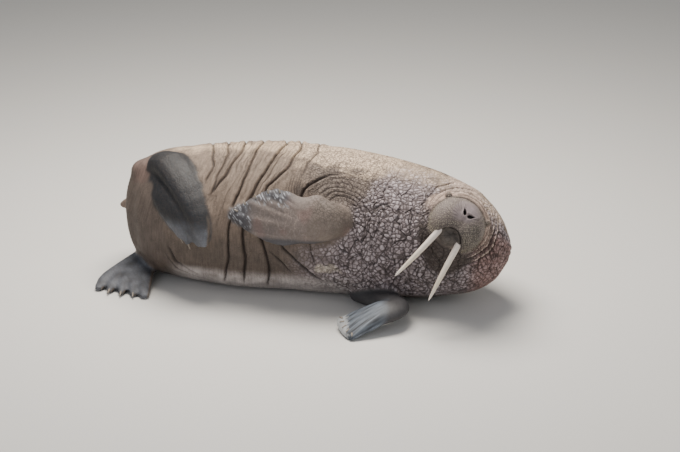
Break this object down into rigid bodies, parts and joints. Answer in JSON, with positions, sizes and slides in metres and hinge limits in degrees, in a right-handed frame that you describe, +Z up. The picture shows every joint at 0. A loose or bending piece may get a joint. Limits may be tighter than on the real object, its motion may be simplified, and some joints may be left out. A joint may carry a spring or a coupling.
{
  "type": "walrus figure",
  "caption": "Life-size walrus lying on its left side, head turned to the viewer, tusks hanging clear, upper foreflipper laid back over the flank.",
  "frame": {"origin": "point of the floor under the ribs, on the flat where the trunk rests", "axes": "+X towards the head along the trunk, +Z up, -Y the side that the belly and the face are turned to"},
  "size_m": [2.8188, 1.6544, 0.9488],
  "materials": {
    "skin": "thick creased hide, tan, satin",
    "skin_chest": "cracked and knobbed hide, grey-brown, satin",
    "skin_face": "short stiff bristles over smooth hide",
    "flipper": "bare dark hide, damp",
    "ivory": "worn ivory",
    "eye": "wet, dark brown"
  },
  "bodies": {
    "root": {"hindquarters": "skin", "belly": "skin", "chest": "skin_chest", "neck": "skin_chest", "head": "skin_face", "tail": "skin", "foreflipper_right": "flipper", "foreflipper_left": "flipper", "forearm_left": "flipper", "hindflipper_right": "flipper", "hindflipper_left": "flipper", "tusk_right": "ivory", "tusk_left": "ivory", "eye_right": "eye", "eye_left": "eye"}
  },
  "joints": []
}
